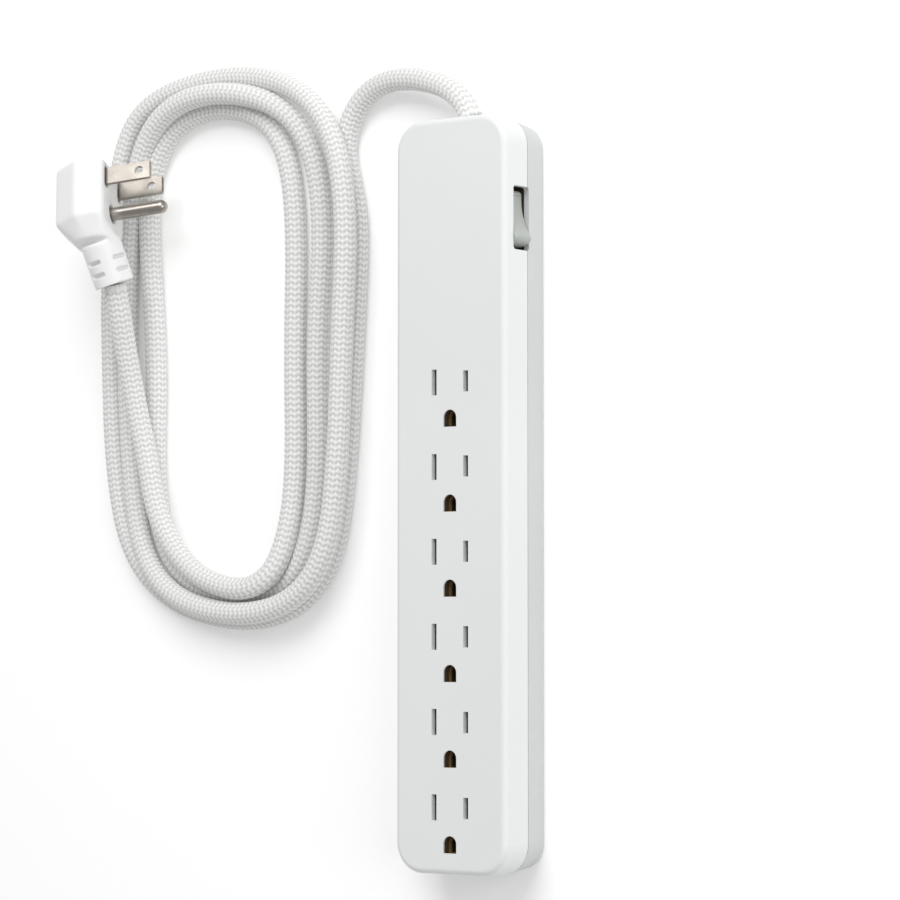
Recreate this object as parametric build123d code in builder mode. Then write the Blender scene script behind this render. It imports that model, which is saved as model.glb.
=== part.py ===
from build123d import *
from math import cos, pi, radians, sin, sqrt, tan
import os

# Six-outlet power strip with a side rocker switch and a braided cord.
# The origin is the centre of the underside. +Z comes out of the outlets,
# +Y points to the end that the cord leaves, and +X to the side with the rocker.

# ---------------------------------------------------------------- sizes, mm
# casing
body_length = 247.0
body_width = 44.5
body_height = 24.0
corner_radius = 10.0
face_fillet = 2.0
cover_wall = 2.0
face_thickness = 2.0
parting_height = 11.4
parting_groove = 0.3
tongue_thickness = 0.9
tongue_height = 1.9
tongue_clearance = 0.1
base_floor = 2.0
base_wall = 2.0
base_draft = 7.0
foot_chamfer = 0.6

# outlets
outlet_count = 6
outlet_pitch = 27.7
first_outlet_from_end = 86.9
slot_spacing = 12.7
slot_width = 2.0
neutral_slot_length = 8.5
hot_slot_length = 6.9
ground_offset = 11.9
ground_hole_width = 5.2
ground_hole_length = 5.6
guide_wall = 1.2
guide_depth = 5.0
guide_below_face = 0.6

# moving shutters behind the blade slots
shutter_travel = 3.0
shutter_thickness = 2.1
shutter_length_y = 10.4
shutter_left = 11.6
shutter_right = 7.9
shutter_window = 2.4
shutter_gap = 0.3
shutter_side_gap = 0.4
spring_room = 5.3
spring_strip = 0.3
spring_end_gap = 0.1

# contacts and their carrier
bus_height = 7.2
bus_thickness = 0.8
bus_width = 4.8
ground_bus_width = 3.6
ground_pad_radius = 3.3
ground_pin_clear = 2.6
blade_slot_in_bus = 2.4
leaf_thickness = 0.5
blade_leaf_length = 6.0
ground_leaf_length = 4.0
bus_tail = 12.0
bus_offset = 0.45
blade_leaf_waist = 0.85
ground_leaf_root = 2.9
ground_leaf_waist = 2.3
leaf_flare = 0.45
leaf_headroom = 0.7
ground_leaf_headroom = 0.8
carrier_wall = 1.3
contact_clearance = 0.3
blade_pocket_length = 8.0
rail_inset = 12.0
rail_width = 1.6

# rocker switch
switch_near_end = 23.5
switch_length = 20.9
switch_height = 8.9
switch_below_face = 4.6
switch_corner = 1.2
rocker_gap = 0.25
rocker_end_gap = 1.1
rocker_swing = 15.0
rocker_pivot_depth = 4.45
rocker_edge = 4.4
rocker_dish = 1.5
rocker_corner = 1.0
rocker_tip_round = 1.5
pivot_radius = 1.2
running_clearance = 0.05
housing_depth = 15.7
housing_wall = 1.15
arm_length = 15.0
arm_thickness = 0.8
arm_width = 6.0
arm_swing = 6.0
arm_pivot_from_back = 4.3
trunnion_radius = 0.8
terminal_thickness = 0.8
terminal_width = 5.0
terminal_reach = 4.0
contact_radius = 1.3
contact_height = 0.6

# screws and keyholes
screw_inset_x = 7.4
screw_rows_from_cord_end = (11.5, 67.5, 238.5)
boss_radius = 4.0
screw_head_radius = 2.7
screw_head_height = 2.0
screw_recess_depth = 2.6
screw_shank_radius = 1.4
screw_length = 15.0
screw_clearance = 0.3
keyhole_entry_radius = 4.3
keyhole_slot_width = 4.2
keyhole_travel = 6.0
keyhole_spacing = 136.0
keyhole_first_y = 64.0
keyhole_pocket_height = 3.6
keyhole_pocket_margin = 0.6
keyhole_pocket_wall = 1.0

# cord and what holds it
cord_diameter = 7.6
gland_length = 18.0
gland_outside = 1.0
gland_neck_wall = 1.2
gland_flange_wall = 3.2
gland_flange = 2.4
gland_tip_wall = 0.8
clamp_from_end = 19.5
clamp_width = 4.4
clamp_half_length = 12.0
clamp_thickness = 4.0
clamp_screw_x = 8.6
clamp_screw_radius = 1.3
wire_radius = 1.2

# coil of cord, lying beside the casing
coil_centre = (-110.0, 54.3)
coil_outer_width = 122.0
coil_outer_length = 197.0
coil_inner_width = 54.0
coil_inner_length = 158.0
coil_plug_zone_y = 66.0
coil_plug_zone_x = -124.0

# right-angle plug; its own x runs along the blades and its y away from the cord
plug_face_centre = (-148.6, 113.2, 22.4)
blade_direction = (0.919, 0.121, -0.375)
across_blades = (0.322, 0.318, 0.892)
plug_width = 23.4
plug_depth = 19.6
plug_bevel_depth = 9.0
plug_bevel_width = 5.6
plug_above_blades = 6.6
plug_straight = 22.6
plug_taper = 7.6
plug_neck = 15.2
plug_neck_back = 5.4
plug_edge = 2.6
blade_spacing = 12.7
blade_width = 6.35
blade_thickness = 1.5
blade_length = 16.5
blade_hole_radius = 1.6
blade_hole_from_tip = 4.4
ground_pin_radius = 2.38
ground_pin_length = 20.2
root_recess_margin = 0.8
bridge_depth = 7.0
bridge_front = 2.0
bridge_low = -14.9
bridge_high = 4.8
bridge_half_width = 9.8
boot_length = 14.0
boot_start_radius = 7.2
boot_end_radius = 7.0
boot_slot = 1.5
boot_slot_from_mouth = 4.3
boot_slot_pitch = 4.5
boot_slot_turn = 31.5
boot_overlap = 1.6
boot_back = 4.8
boot_direction = (0.19, -0.94, -0.28)

# ------------------------------------------------------- places worked out
half_length = body_length / 2
half_width = body_width / 2
cover_bottom = parting_height + parting_groove / 2
base_top = parting_height - parting_groove / 2
cover_ceiling = body_height - face_thickness
outlet_y = [half_length - first_outlet_from_end - i * outlet_pitch for i in range(outlet_count)]
base_half_width = half_width - base_top * tan(radians(base_draft))
base_half_length = half_length - base_top * tan(radians(base_draft))
shutter_top = cover_ceiling - shutter_gap
shutter_bottom = shutter_top - shutter_thickness
pocket_floor = shutter_bottom - shutter_gap
pocket_left = -shutter_left - shutter_gap
pocket_right = shutter_right + spring_room
leaf_top = pocket_floor - leaf_headroom
switch_y = half_length - switch_near_end - switch_length / 2
switch_top = body_height - switch_below_face
switch_z = switch_top - switch_height / 2
pivot_x = half_width - rocker_pivot_depth
housing_front = half_width - cover_wall - 0.05
housing_back = housing_front - housing_depth
cavity_half_y = switch_length / 2 + 0.1
cavity_half_z = switch_height / 2 + 0.1
housing_half_y = cavity_half_y + housing_wall
housing_half_z = cavity_half_z + housing_wall
arm_x = housing_back + arm_pivot_from_back
cord_radius = cord_diameter / 2
cord_z = parting_height
gland_tip_radius = cord_radius + gland_tip_wall
gland_neck_radius = cord_radius + gland_neck_wall
gland_flange_radius = cord_radius + gland_flange_wall
gland_tip_y = half_length + gland_outside
gland_back_y = gland_tip_y - gland_length
clamp_y = half_length - clamp_from_end
sheath_end_y = clamp_y - clamp_width / 2 - 1.2
screw_places = [
    (side * (half_width - screw_inset_x), half_length - from_end)
    for from_end in screw_rows_from_cord_end
    for side in (-1, 1)
]
keyhole_y = [keyhole_first_y, keyhole_first_y - keyhole_spacing]


def box_between(x_low, x_high, y_low, y_high, z_low, z_high, mode=Mode.ADD):
    """A box from its two opposite corners, in the part being built."""
    middle = ((x_low + x_high) / 2, (y_low + y_high) / 2, (z_low + z_high) / 2)
    with Locations(middle):
        Box(x_high - x_low, y_high - y_low, z_high - z_low, mode=mode)


def cylinder_up(x, y, z_low, z_high, radius, mode=Mode.ADD):
    """An upright cylinder between two heights."""
    with Locations((x, y, (z_low + z_high) / 2)):
        Cylinder(radius, z_high - z_low, mode=mode)


def ground_hole_outline(y, margin=0.0):
    """An arch: round towards +Y, flat towards -Y."""
    radius = ground_hole_width / 2 + margin
    circle_y = y + ground_hole_length / 2 - ground_hole_width / 2
    flat_y = y - ground_hole_length / 2 - margin
    with Locations((0, circle_y)):
        Circle(radius)
    with Locations((0, (circle_y + flat_y) / 2)):
        Rectangle(2 * radius, circle_y - flat_y)


def switch_opening():
    """Cuts the rocker's window through the wall."""
    with BuildSketch(Plane.YZ.offset(half_width - cover_wall - 3)) as window:
        with Locations((switch_y, switch_z)):
            RectangleRounded(switch_length, switch_height, switch_corner)
    extrude(window.sketch, amount=cover_wall + 6, mode=Mode.SUBTRACT)


def cord_hole():
    """Cuts the gland's round hole through the end wall."""
    with Locations(Location((0, half_length - cover_wall / 2, cord_z), (90, 0, 0))):
        Cylinder(gland_neck_radius + 0.1, cover_wall + 6, mode=Mode.SUBTRACT)


def write_part(part, name):
    part.label = name
    export_step(part, f"parts/{name}.step")


os.makedirs("parts", exist_ok=True)

# --------------------------------------------------------------- top cover
with BuildPart() as top_cover:
    with BuildSketch(Plane.XY.offset(cover_bottom)):
        RectangleRounded(body_width, body_length, corner_radius)
    extrude(amount=body_height - cover_bottom)
    fillet(top_cover.faces().sort_by(Axis.Z)[-1].edges(), face_fillet)
    with BuildSketch(Plane.XY.offset(cover_bottom)):
        RectangleRounded(
            body_width - 2 * cover_wall, body_length - 2 * cover_wall, corner_radius - cover_wall
        )
    extrude(amount=cover_ceiling - cover_bottom, mode=Mode.SUBTRACT)
    # the rebate that takes the base's tongue
    rebate = cover_wall - tongue_thickness - tongue_clearance
    with BuildSketch(Plane.XY.offset(cover_bottom)):
        RectangleRounded(body_width - 2 * rebate, body_length - 2 * rebate, corner_radius - rebate)
    extrude(amount=base_top + tongue_height - cover_bottom + tongue_clearance, mode=Mode.SUBTRACT)
    for x, y in screw_places:
        cylinder_up(x, y, base_top + 0.1, cover_ceiling, boss_radius - 1)
        cylinder_up(x, y, base_top, cover_ceiling - 1.5, screw_shank_radius - 0.1, Mode.SUBTRACT)
    for y in outlet_y:
        # the seat that each ground hole's dark guide sleeve is pressed into
        with BuildSketch(Plane.XY.offset(cover_ceiling)):
            ground_hole_outline(y - ground_offset, guide_wall)
        extrude(amount=face_thickness - guide_below_face, mode=Mode.SUBTRACT)
    for y in outlet_y:
        with BuildSketch(Plane.XY.offset(body_height)):
            ground_hole_outline(y - ground_offset)
            with Locations((-slot_spacing / 2, y)):
                Rectangle(slot_width, neutral_slot_length)
            with Locations((slot_spacing / 2, y)):
                Rectangle(slot_width, hot_slot_length)
        extrude(amount=-face_thickness, mode=Mode.SUBTRACT)
    switch_opening()
    cord_hole()
write_part(top_cover.part, "top_cover")

# ----------------------------------- guide sleeves behind the ground holes
with BuildPart() as ground_guides:
    guide_length = guide_depth + face_thickness - guide_below_face
    for y in outlet_y:
        with BuildSketch(Plane.XY.offset(cover_ceiling - guide_depth)):
            ground_hole_outline(y - ground_offset, guide_wall)
        extrude(amount=guide_length)
    for y in outlet_y:
        with BuildSketch(Plane.XY.offset(cover_ceiling - guide_depth)):
            ground_hole_outline(y - ground_offset)
        extrude(amount=guide_length, mode=Mode.SUBTRACT)
write_part(ground_guides.part, "ground_guides")

# --------------------------------------------------------------- base tray
keyhole_length = keyhole_travel + 2 * keyhole_entry_radius
pocket_width = 2 * (keyhole_entry_radius + keyhole_pocket_margin)
pocket_top = base_floor + keyhole_pocket_height
rail_top = bus_height
rail_y_low = outlet_y[-1] - shutter_length_y / 2 - shutter_side_gap - carrier_wall
rail_y_high = outlet_y[0] + shutter_length_y / 2 + shutter_side_gap + carrier_wall

with BuildPart() as base_tray:
    with BuildSketch():
        RectangleRounded(2 * base_half_width, 2 * base_half_length, corner_radius - 1.3)
    extrude(amount=base_top, taper=-base_draft)
    chamfer(base_tray.faces().sort_by(Axis.Z)[0].edges(), foot_chamfer)
    # the tongue that stands inside the cover's rebate
    outer = cover_wall - tongue_thickness
    inner = cover_wall
    with BuildSketch(Plane.XY.offset(base_top)):
        RectangleRounded(body_width - 2 * outer, body_length - 2 * outer, corner_radius - outer)
        RectangleRounded(
            body_width - 2 * inner, body_length - 2 * inner, corner_radius - inner, mode=Mode.SUBTRACT
        )
    extrude(amount=tongue_height)
    inside_width = 2 * (base_half_width - base_wall)
    inside_length = 2 * (base_half_length - base_wall)
    with BuildSketch(Plane.XY.offset(base_floor)):
        RectangleRounded(inside_width, inside_length, corner_radius - 2.6)
    extrude(amount=base_top - base_floor, taper=-base_draft / 2, mode=Mode.SUBTRACT)
    # rails under the contact carrier
    for side in (-1, 1):
        rail_x = side * rail_inset
        box_between(
            rail_x - rail_width / 2, rail_x + rail_width / 2, rail_y_low, rail_y_high, base_floor, rail_top
        )
    for x, y in screw_places:
        cylinder_up(x, y, base_floor, base_top, boss_radius)
        cylinder_up(x, y, 0, screw_recess_depth, screw_head_radius + screw_clearance, Mode.SUBTRACT)
        cylinder_up(x, y, 0, base_top, screw_shank_radius + screw_clearance, Mode.SUBTRACT)
    # closed pockets behind the keyholes
    for y in keyhole_y:
        slot_middle = y + keyhole_travel / 2
        wall_outline = (
            pocket_width + 2 * keyhole_pocket_wall,
            keyhole_length + 2 * (keyhole_pocket_margin + keyhole_pocket_wall),
        )
        with BuildSketch(Plane.XY.offset(base_floor)):
            with Locations((0, slot_middle)):
                RectangleRounded(*wall_outline, pocket_width / 2)
        extrude(amount=keyhole_pocket_height + keyhole_pocket_wall)
        with BuildSketch(Plane.XY.offset(base_floor)):
            with Locations((0, slot_middle)):
                RectangleRounded(
                    pocket_width, keyhole_length + 2 * keyhole_pocket_margin, pocket_width / 2 - 0.1
                )
        extrude(amount=keyhole_pocket_height, mode=Mode.SUBTRACT)
        cylinder_up(0, y, 0, base_floor, keyhole_entry_radius, Mode.SUBTRACT)
        box_between(
            -keyhole_slot_width / 2, keyhole_slot_width / 2, y, y + keyhole_entry_radius + keyhole_travel / 2,
            0, base_floor, Mode.SUBTRACT,
        )
        slot_end_y = y + keyhole_entry_radius + keyhole_travel / 2
        cylinder_up(0, slot_end_y, 0, base_floor, keyhole_slot_width / 2, Mode.SUBTRACT)
    # the saddle under the cord
    box_between(
        -clamp_half_length, clamp_half_length, clamp_y - clamp_width / 2, clamp_y + clamp_width / 2,
        base_floor, cord_z - 0.2,
    )
    with Locations(Location((0, clamp_y, cord_z), (90, 0, 0))):
        Cylinder(cord_radius, clamp_width + 2, mode=Mode.SUBTRACT)
    for side in (-1, 1):
        cylinder_up(side * clamp_screw_x, clamp_y, 4.0, cord_z, clamp_screw_radius - 0.1, Mode.SUBTRACT)
    # reliefs in the sloping walls for the switch housing and the gland's flange
    box_between(
        housing_back - 0.2, housing_front + 0.05,
        switch_y - housing_half_y - 0.1, switch_y + housing_half_y + 0.1,
        switch_z - housing_half_z - 0.1, body_height, Mode.SUBTRACT,
    )
    flange_middle = half_length - cover_wall - gland_flange / 2
    with Locations(Location((0, flange_middle, cord_z), (90, 0, 0))):
        Cylinder(gland_flange_radius + 0.2, gland_flange + 0.4, mode=Mode.SUBTRACT)
    switch_opening()
    cord_hole()
write_part(base_tray.part, "base_tray")

# ------------------------------------------------------------ cover screws
with BuildPart() as cover_screws:
    head_bottom = screw_recess_depth - screw_head_height
    for x, y in screw_places:
        cylinder_up(x, y, head_bottom, screw_recess_depth, screw_head_radius)
        cylinder_up(x, y, screw_recess_depth, screw_recess_depth + screw_length, screw_shank_radius)
    for x, y in screw_places:
        for length_x, length_y in ((3.4, 0.8), (0.8, 3.4)):
            with Locations((x, y, head_bottom + 0.6)):
                Box(length_x, length_y, 1.2, mode=Mode.SUBTRACT)
write_part(cover_screws.part, "cover_screws")

# --------------------------------------------------------- contact carrier
carrier_left = pocket_left - carrier_wall
carrier_right = pocket_right + carrier_wall
blade_pocket_width = 2 * (blade_slot_in_bus / 2 + leaf_thickness + contact_clearance)
guide_outline = ground_hole_width + 2 * guide_wall
tail_low = outlet_y[-1] - ground_offset - guide_outline / 2 - contact_clearance - carrier_wall

with BuildPart() as contact_carrier:
    box_between(carrier_left, carrier_right, rail_y_low, rail_y_high, bus_height, cover_ceiling)
    tail_half = guide_outline / 2 + contact_clearance + carrier_wall
    box_between(-tail_half, tail_half, tail_low, rail_y_low, bus_height, cover_ceiling)
    for y in outlet_y:
        pocket_half = shutter_length_y / 2 + shutter_side_gap
        box_between(
            pocket_left, pocket_right, y - pocket_half, y + pocket_half,
            pocket_floor, cover_ceiling, Mode.SUBTRACT,
        )
        for side in (-1, 1):
            x = side * slot_spacing / 2
            box_between(
                x - blade_pocket_width / 2, x + blade_pocket_width / 2,
                y - blade_pocket_length / 2, y + blade_pocket_length / 2,
                bus_height, cover_ceiling, Mode.SUBTRACT,
            )
        ground_half = guide_outline / 2 + contact_clearance
        ground_y = y - ground_offset
        box_between(
            -ground_half, ground_half, ground_y - ground_half, ground_y + ground_half,
            bus_height, cover_ceiling, Mode.SUBTRACT,
        )
    # channels for the three bus bars
    channel_top = bus_height + bus_thickness + 0.1
    for x, width in (
        (-slot_spacing / 2 - bus_offset, bus_width),
        (0, ground_bus_width),
        (slot_spacing / 2 + bus_offset, bus_width),
    ):
        box_between(
            x - width / 2 - 0.1, x + width / 2 + 0.1, tail_low, rail_y_high,
            bus_height, channel_top, Mode.SUBTRACT,
        )
write_part(contact_carrier.part, "contact_carrier")


# --------------------------------------------------------------- bus bars
def spring_leaf(x, y, side, root, waist, top, length):
    """One bent contact leaf: a strip that leans in to its waist and flares at its top."""
    bus_top = bus_height + bus_thickness
    rise = top - bus_top
    with BuildSketch(Plane.XZ.offset(-(y + length / 2))) as leaf:
        with BuildLine():
            Polyline(
                (x + side * root, bus_top - bus_thickness / 2),
                (x + side * root, bus_top + 0.2 * rise),
                (x + side * waist, bus_top + 0.8 * rise),
                (x + side * (waist + leaf_flare), top),
            )
        trace(line_width=leaf_thickness)
    extrude(leaf.sketch, amount=length)


def blade_bus(x):
    """A flat bar with one punched slot and a pair of leaves for each outlet."""
    middle = x + (bus_offset if x > 0 else -bus_offset)
    low = outlet_y[-1] - blade_pocket_length / 2
    high = rail_y_high + bus_tail
    box_between(
        middle - bus_width / 2, middle + bus_width / 2, low, high, bus_height, bus_height + bus_thickness
    )
    for y in outlet_y:
        box_between(
            x - blade_slot_in_bus / 2, x + blade_slot_in_bus / 2,
            y - blade_leaf_length / 2 - 0.5, y + blade_leaf_length / 2 + 0.5,
            bus_height, bus_height + bus_thickness, Mode.SUBTRACT,
        )
    for y in outlet_y:
        for side in (-1, 1):
            root = blade_slot_in_bus / 2 + leaf_thickness / 2
            spring_leaf(x, y, side, root, blade_leaf_waist, leaf_top, blade_leaf_length)


with BuildPart() as neutral_bus:
    blade_bus(-slot_spacing / 2)
write_part(neutral_bus.part, "neutral_bus")

with BuildPart() as hot_bus:
    blade_bus(slot_spacing / 2)
write_part(hot_bus.part, "hot_bus")

with BuildPart() as ground_bus:
    bus_low = outlet_y[-1] - ground_offset
    box_between(
        -ground_bus_width / 2, ground_bus_width / 2, bus_low, rail_y_high + bus_tail,
        bus_height, bus_height + bus_thickness,
    )
    for y in outlet_y:
        cylinder_up(0, y - ground_offset, bus_height, bus_height + bus_thickness, ground_pad_radius)
    for y in outlet_y:
        cylinder_up(
            0, y - ground_offset, bus_height, bus_height + bus_thickness, ground_pin_clear, Mode.SUBTRACT
        )
    ground_leaf_top = cover_ceiling - guide_depth - ground_leaf_headroom
    for y in outlet_y:
        for side in (-1, 1):
            spring_leaf(
                0, y - ground_offset, side, ground_leaf_root, ground_leaf_waist,
                ground_leaf_top, ground_leaf_length,
            )
write_part(ground_bus.part, "ground_bus")

# ------------------------------------------------- shutters and their springs
for number, y in enumerate(outlet_y, start=1):
    with BuildPart() as shutter:
        half = shutter_length_y / 2
        box_between(-shutter_left, shutter_right, y - half, y + half, shutter_bottom, shutter_top)
        for side in (-1, 1):
            # each window stands one travel away from its slot, with a ramp beside it
            window_x = side * slot_spacing / 2 - shutter_travel
            window_half_y = neutral_slot_length / 2 + 0.25
            box_between(
                window_x - shutter_window / 2, window_x + shutter_window / 2,
                y - window_half_y, y + window_half_y, shutter_bottom, shutter_top, Mode.SUBTRACT,
            )
            ramp_foot = window_x + shutter_window / 2
            with BuildSketch(Plane.XZ.offset(-(y + window_half_y))):
                with BuildLine():
                    Polyline(
                        (ramp_foot - 0.1, shutter_top + 0.1),
                        (ramp_foot + 2.4, shutter_top + 0.1),
                        (ramp_foot + 2.4, shutter_top - 0.2),
                        (ramp_foot - 0.1, shutter_top - 1.5),
                        close=True,
                    )
                make_face()
            extrude(amount=2 * window_half_y, mode=Mode.SUBTRACT)
    write_part(shutter.part, f"shutter_{number}")

    with BuildPart() as shutter_spring:
        spring_left = shutter_right + spring_end_gap + spring_strip / 2
        spring_right = pocket_right - spring_end_gap - spring_strip / 2
        bend = (spring_right - spring_left) / 4
        with BuildSketch(Plane.XY.offset(shutter_bottom + 0.2)):
            with BuildLine():
                Polyline(
                    (spring_left, y - 3.6),
                    (spring_left, y + 3.0),
                    (spring_left + bend, y + 3.6),
                    (spring_left + 2 * bend, y - 3.0),
                    (spring_left + 3 * bend, y + 3.0),
                    (spring_right, y + 3.6),
                    (spring_right, y - 3.0),
                )
            trace(line_width=spring_strip)
        extrude(amount=shutter_thickness - 0.4)
    write_part(shutter_spring.part, f"shutter_spring_{number}")

# ----------------------------------------------------------- rocker switch
rocker_half_z = switch_height / 2 - rocker_gap
arm_half_z = arm_width / 2

with BuildPart() as switch_housing:
    box_between(
        housing_back, housing_front, switch_y - housing_half_y, switch_y + housing_half_y,
        switch_z - housing_half_z, switch_z + housing_half_z,
    )
    box_between(
        housing_back + housing_wall, housing_front,
        switch_y - cavity_half_y, switch_y + cavity_half_y,
        switch_z - cavity_half_z, switch_z + cavity_half_z, Mode.SUBTRACT,
    )
    cylinder_up(
        pivot_x, switch_y, switch_z - housing_half_z, switch_z + housing_half_z,
        pivot_radius + running_clearance, Mode.SUBTRACT,
    )
    cylinder_up(
        arm_x, switch_y, switch_z - housing_half_z, switch_z + housing_half_z,
        trunnion_radius + running_clearance, Mode.SUBTRACT,
    )
    # slots for the two terminals in the back wall
    for y in (switch_y, switch_y - arm_length / 2 + contact_radius):
        box_between(
            housing_back, housing_back + housing_wall,
            y - terminal_width / 2, y + terminal_width / 2,
            switch_z - terminal_thickness / 2, switch_z + terminal_thickness / 2, Mode.SUBTRACT,
        )
write_part(switch_housing.part, "switch_housing")

# the rocker is drawn unturned about its pivot, in a frame that holds the resting tilt
rocker_frame = Plane(
    origin=(pivot_x, switch_y, switch_z - rocker_half_z),
    x_dir=(cos(radians(rocker_swing)), sin(radians(rocker_swing)), 0),
    z_dir=(0, 0, 1),
)
rocker_reach = switch_length / 2 - rocker_end_gap
rocker_edge_y = sqrt(rocker_reach**2 - rocker_edge**2)
rocker_skirt = 2.5
rocker_skirt_y = sqrt(rocker_reach**2 - rocker_skirt**2)
stem_half = 2.0
stem_depth = 6.0
plunger_radius = 1.1
plunger_tip = pivot_x - (arm_x + arm_thickness / 2) - 0.4

with BuildPart() as switch_rocker:
    with BuildSketch(rocker_frame):
        with BuildLine():
            Polyline(
                (-rocker_skirt, -rocker_skirt_y),
                (-rocker_skirt, -stem_half),
                (-stem_depth, -stem_half),
                (-stem_depth, stem_half),
                (-rocker_skirt, stem_half),
                (-rocker_skirt, rocker_skirt_y),
            )
            ThreePointArc((-rocker_skirt, rocker_skirt_y), (0, rocker_reach), (rocker_edge, rocker_edge_y))
            ThreePointArc(
                (rocker_edge, rocker_edge_y), (rocker_edge - rocker_dish, 0), (rocker_edge, -rocker_edge_y)
            )
            ThreePointArc((rocker_edge, -rocker_edge_y), (0, -rocker_reach), (-rocker_skirt, -rocker_skirt_y))
        make_face()
    extrude(amount=2 * rocker_half_z)
    upright_edges = switch_rocker.edges().filter_by(Axis.Z)
    rim = upright_edges.sort_by(lambda edge: rocker_frame.to_local_coords(edge.center()).X)
    fillet(rim[-2:], rocker_tip_round)
    end_arcs = switch_rocker.edges().filter_by(
        lambda edge: edge.geom_type == GeomType.CIRCLE and abs(edge.radius - rocker_reach) < 0.01
    )
    fillet(end_arcs, rocker_corner)
    cylinder_up(
        pivot_x, switch_y, switch_z - housing_half_z + 0.2, switch_z + housing_half_z - 0.2, pivot_radius
    )
    # grip ridges at the pressed end, and the blind hole that guides the plunger
    with BuildSketch(rocker_frame):
        for step in range(3):
            with Locations((rocker_edge - 0.35 - 0.18 * step, rocker_edge_y - 1.5 - 1.3 * step)):
                Rectangle(0.7, 0.45)
    extrude(amount=2 * rocker_half_z, mode=Mode.SUBTRACT)
    with Locations(rocker_frame * Location((-stem_depth + 1.9, 0, rocker_half_z), (0, 90, 0))):
        Cylinder(plunger_radius + 0.02, 4.0, mode=Mode.SUBTRACT)
write_part(switch_rocker.part, "switch_rocker")

with BuildPart() as switch_plunger:
    rod_start = -stem_depth + 3.4
    rod_end = -plunger_tip
    rod_place = Location(((rod_start + rod_end) / 2, 0, rocker_half_z), (0, 90, 0))
    with Locations(rocker_frame * rod_place):
        Cylinder(plunger_radius, rod_start - rod_end)
    fillet(switch_plunger.edges().filter_by(GeomType.CIRCLE).sort_by(Axis.X)[0], 0.8 * plunger_radius)
write_part(switch_plunger.part, "switch_plunger")

arm_frame = Plane(
    origin=(arm_x, switch_y, switch_z - arm_half_z),
    x_dir=(cos(radians(arm_swing)), -sin(radians(arm_swing)), 0),
    z_dir=(0, 0, 1),
)
contact_y = arm_length / 2 - contact_radius

with BuildPart() as switch_contact_arm:
    with BuildSketch(arm_frame):
        Rectangle(arm_thickness, arm_length)
    extrude(amount=arm_width)
    trunnion_half = housing_half_z - 0.3
    cylinder_up(arm_x, switch_y, switch_z - trunnion_half, switch_z + trunnion_half, trunnion_radius)
    button_x = -arm_thickness / 2 - contact_height / 2 + 0.1
    with Locations(arm_frame * Location((button_x, -contact_y, arm_half_z), (0, 90, 0))):
        Cylinder(contact_radius, contact_height + 0.2)
write_part(switch_contact_arm.part, "switch_contact_arm")

terminal_end = housing_back - terminal_reach
with BuildPart() as switch_line_terminal:
    box_between(
        terminal_end, arm_x - trunnion_radius - 0.35,
        switch_y - terminal_width / 2, switch_y + terminal_width / 2,
        switch_z - terminal_thickness / 2, switch_z + terminal_thickness / 2,
    )
write_part(switch_line_terminal.part, "switch_line_terminal")

load_y = switch_y - contact_y
arm_drop = contact_y * sin(radians(arm_swing))
load_contact_x = arm_x - arm_thickness / 2 - contact_height - arm_drop - 0.75
with BuildPart() as switch_load_terminal:
    box_between(
        terminal_end, load_contact_x - 0.1, load_y - terminal_width / 2, load_y + terminal_width / 2,
        switch_z - terminal_thickness / 2, switch_z + terminal_thickness / 2,
    )
    with Locations(Location((load_contact_x - 0.25, load_y, switch_z), (0, 90, 0))):
        Cylinder(contact_radius, 0.5)
write_part(switch_load_terminal.part, "switch_load_terminal")

# ------------------------------------------------- gland, sheath and clamp
with BuildPart() as cord_gland:
    wall_inside = half_length - cover_wall
    with BuildSketch(Plane.YZ):
        with BuildLine():
            Polyline(
                (gland_back_y, cord_z + cord_radius + 0.05),
                (gland_back_y, cord_z + gland_tip_radius),
                (wall_inside - gland_flange, cord_z + gland_neck_radius + 0.6),
                (wall_inside - gland_flange, cord_z + gland_flange_radius),
                (wall_inside - 0.1, cord_z + gland_flange_radius),
                (wall_inside - 0.1, cord_z + gland_neck_radius),
                (half_length + 0.6, cord_z + gland_neck_radius),
                (gland_tip_y, cord_z + gland_tip_radius),
                (gland_tip_y, cord_z + cord_radius + 0.05),
                close=True,
            )
        make_face()
    revolve(axis=Axis((0, 0, cord_z), (0, 1, 0)))
write_part(cord_gland.part, "cord_gland")

with BuildPart() as inner_sheath:
    with Locations(Location((0, (sheath_end_y + gland_tip_y) / 2, cord_z), (90, 0, 0))):
        Cylinder(cord_radius, gland_tip_y - sheath_end_y)
write_part(inner_sheath.part, "inner_sheath")

with BuildPart() as cord_clamp:
    clamp_top = cord_z + cord_radius + clamp_thickness / 2
    box_between(
        -clamp_half_length, clamp_half_length, clamp_y - clamp_width / 2, clamp_y + clamp_width / 2,
        cord_z + 0.2, clamp_top,
    )
    with Locations(Location((0, clamp_y, cord_z), (90, 0, 0))):
        Cylinder(cord_radius, clamp_width + 2, mode=Mode.SUBTRACT)
    for side in (-1, 1):
        cylinder_up(
            side * clamp_screw_x, clamp_y, cord_z, clamp_top, clamp_screw_radius + 0.15, Mode.SUBTRACT
        )
write_part(cord_clamp.part, "cord_clamp")

with BuildPart() as clamp_screws:
    for side in (-1, 1):
        cylinder_up(side * clamp_screw_x, clamp_y, 5.0, clamp_top, clamp_screw_radius)
        cylinder_up(side * clamp_screw_x, clamp_y, clamp_top, clamp_top + 1.6, 2.1)
    for side in (-1, 1):
        for length_x, length_y in ((2.6, 0.6), (0.6, 2.6)):
            with Locations((side * clamp_screw_x, clamp_y, clamp_top + 1.2)):
                Box(length_x, length_y, 0.8, mode=Mode.SUBTRACT)
write_part(clamp_screws.part, "clamp_screws")


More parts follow.
